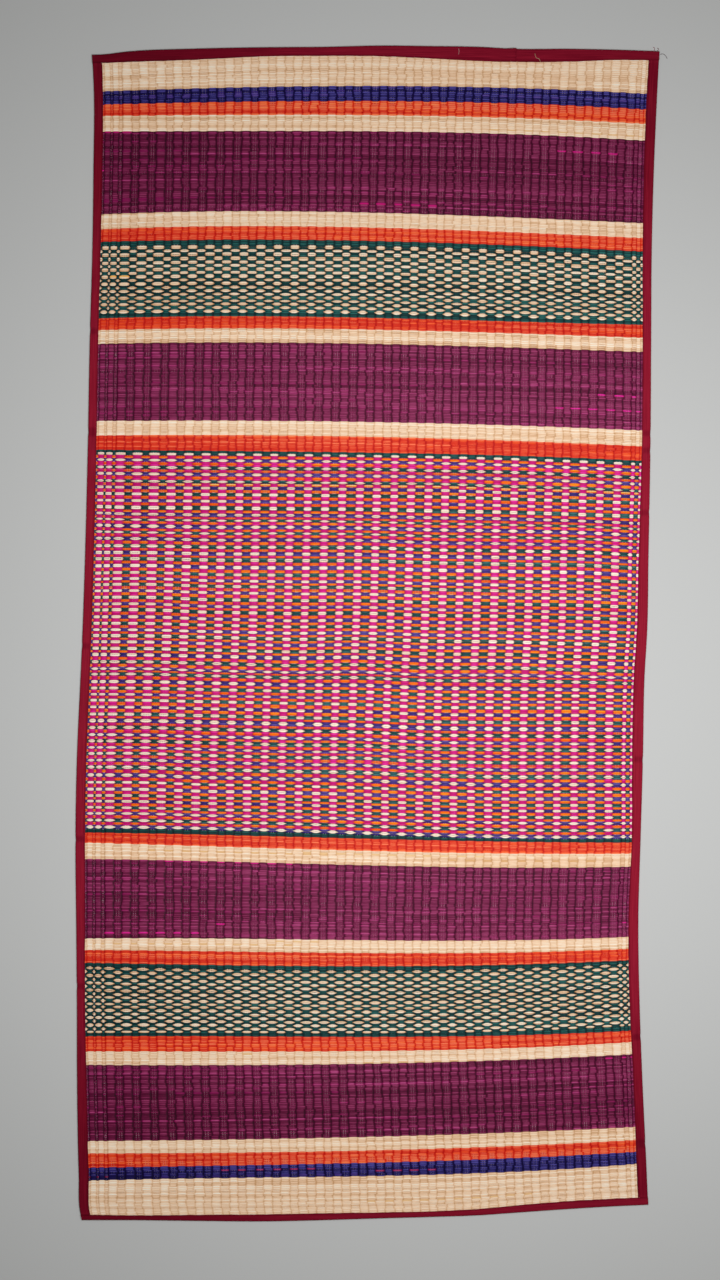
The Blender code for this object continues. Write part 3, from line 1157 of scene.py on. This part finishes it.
def bind_end(name, edge, start, stop, material, lap=0.0):
    """A tape along part of a short end, out to the corners."""
    sign = 1 if edge == "bottom" else -1

    def carry(share, inset, tapes):
        part = start + (stop - start) * share
        y = end(edge, 0.0)
        for _ in range(ROUNDS):
            left = side("left", y)
            right = side("right", y)
            x = left + (right - left) * part
            y = end(edge, x) + sign * (inset + tapes * end(edge + "_tape", x))
        return x, y

    length = (stop - start) * (side("right", NEAR_END) - side("left", NEAR_END))
    lap = lap / (stop - start)
    thing = sweep_tape(name.replace("tape", "cloth"), name, length, carry, material, (), lap)
    widths = end(edge + "_tape", carry(np.linspace(0, 1, WIDTH_PLACES), 0, 0)[0])


def bind_mat():
    """All five tapes. The loose thread ends lie on the shorter top one or beside it."""
    material = tape_finish()
    half_gap = CLEARANCE / 2 / (SIDE_ROWS[0].right - SIDE_ROWS[0].left)
    bind_side("tape_left", "left", material)
    bind_side("tape_right", "right", material)
    tufts = [lay_thread_end(name, tuft) for name, tuft in TUFTS.items()]
    bind_end("tape_top_long", "top", 0, TOP_JOIN - half_gap, material, TOP_LAP)
    bind_end("tape_top_short", "top", TOP_JOIN + half_gap, 1, material, 0.0)
    bind_end("tape_bottom", "bottom", 0, 1, material)


# Sewing thread ends on the top tape and at its right corner: the colour of each, how high it lies,
# and the pixels of the photo that it runs through
THREAD_RADIUS = 0.0004
THREAD_SIDES = 5
THREAD_STEPS = 14
ON_TAPE = TAPE_HEIGHT + THREAD_RADIUS
ON_FLOOR = THREAD_RADIUS
Tuft = namedtuple("Tuft", "colour height pixels")
JOIN_PIXELS = ((534.6, 54.6), (536.0, 58.6), (538.6, 59.6), (540.2, 62.6))
MIDDLE_PIXELS = ((458.4, 49.6), (458.9, 52.0), (458.4, 55.2))
CORNER_1_PIXELS = ((654.0, 50.6), (654.6, 48.4), (653.2, 47.2))
CORNER_2_PIXELS = ((657.4, 51.0), (658.6, 49.0), (657.2, 48.2))
CORNER_3_PIXELS = ((660.2, 54.4), (663.0, 54.0), (665.6, 56.0), (667.2, 58.8))
TUFTS = {
    "thread_end_join": Tuft((196, 156, 124), ON_TAPE, JOIN_PIXELS),
    "thread_end_middle": Tuft((206, 150, 150), ON_TAPE, MIDDLE_PIXELS),
    "thread_end_corner_1": Tuft((150, 60, 76), ON_FLOOR, CORNER_1_PIXELS),
    "thread_end_corner_2": Tuft((120, 40, 56), ON_FLOOR, CORNER_2_PIXELS),
    "thread_end_corner_3": Tuft((110, 96, 100), ON_FLOOR, CORNER_3_PIXELS),
}


def lay_thread_end(name, tuft):
    """One short end of sewing thread, as a thin tube through its places."""
    across, down = np.array(tuft.pixels).T
    knots = np.arange(len(across))
    stations = THREAD_STEPS + 1
    at = np.linspace(0, knots[-1], stations)
    x = curve(knots, (across - ORIGIN_X_PIXEL) * PIXEL, at)
    y = curve(knots, (ORIGIN_Y_PIXEL - down) * PIXEL, at)
    line = beside(x, y, np.full(stations, tuft.height))
    ahead = np.gradient(line, axis=0)
    ahead /= np.linalg.norm(ahead, axis=1)[:, None]
    upward = np.array((0, 0, 1))
    aside = np.cross(ahead, upward)
    length = np.linspace(0, np.linalg.norm(np.diff(line, axis=0), axis=1).sum(), stations)
    turns = np.linspace(0, 2 * np.pi, THREAD_SIDES + 1)
    rings = []
    grain = []
    bake = []
    for turn in turns:
        rings.append(line + THREAD_RADIUS * (np.cos(turn) * aside + np.sin(turn) * upward))
        grain.append(beside(length, np.full(stations, turn * THREAD_RADIUS)))
        around = np.full(stations, turn / turns[-1])
        bake.append(beside(length / length[-1], around))
    strip = np.arange(THREAD_STEPS)
    first = [turn * stations + strip for turn in range(THREAD_SIDES)]
    faces = [strip_faces(a, a + stations) for a in first]
    maps = {"grain": grain, "OFBake": bake}
    thing = mesh_piece(name, rings, faces, [thread_finish(name, tuft.colour)], {}, maps)
    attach(thing, "root")
    return thing


# The studio

CAMERA_LENS = 50
CAMERA_SENSOR = 36
FLOOR_SIZE = 600
FLOOR_COLOUR = (196, 197, 196)
FLOOR_ROUGHNESS = 0.7
SOFT_BOX_PLACE = (0.22, -0.05, 1.7)
SOFT_BOX_SIZE = 1.3
SOFT_BOX_POWER = 31
SKY_COLOUR = (1.0, 0.99, 0.97, 1)
SKY_STRENGTH = 0.13


def add_floor():
    finish = Finish("studio_floor")
    finish.shader.inputs["Base Color"].default_value = shade(FLOOR_COLOUR)
    finish.shader.inputs["Roughness"].default_value = FLOOR_ROUGHNESS
    half = FLOOR_SIZE / 2
    corners = [(-half, -half, 0), (half, -half, 0), (half, half, 0), (-half, half, 0)]
    mesh = bpy.data.meshes.new("floor")
    mesh.from_pydata(corners, [], [(0, 1, 2, 3)])
    mesh.materials.append(finish.material)
    put("floor", mesh)


def add_soft_box():
    """A round lamp that faces straight down."""
    lamp = bpy.data.lights.new("soft_box", "AREA")
    lamp.shape = "DISK"
    lamp.size = SOFT_BOX_SIZE
    lamp.energy = SOFT_BOX_POWER
    put("soft_box", lamp, SOFT_BOX_PLACE).visible_camera = False


def add_sky():
    world = bpy.data.worlds.new("studio")
    world.use_nodes = True
    background = world.node_tree.nodes["Background"]
    background.inputs["Color"].default_value = SKY_COLOUR
    background.inputs["Strength"].default_value = SKY_STRENGTH
    bpy.context.scene.world = world


def add_camera():
    """Straight above the middle of the photo, at the height where its long side fills the view."""
    x = (PHOTO_WIDE / 2 - ORIGIN_X_PIXEL) * PIXEL
    y = (ORIGIN_Y_PIXEL - PHOTO_HIGH / 2) * PIXEL
    height = PHOTO_HIGH * PIXEL * CAMERA_LENS / CAMERA_SENSOR
    camera = bpy.data.cameras.new("camera")
    camera.lens = CAMERA_LENS
    camera.sensor_width = CAMERA_SENSOR
    bpy.context.scene.camera = put("camera", camera, (x, y, height))


add_floor()
add_soft_box()
add_sky()
add_camera()
bpy.context.scene.view_settings.view_transform = "Standard"

cloth = lay_out_weave()
weave_mat(cloth, {dye.name: grass_finish(dye) for dye in DYES})
warp_threads(cloth, cotton_finish())
bind_mat()
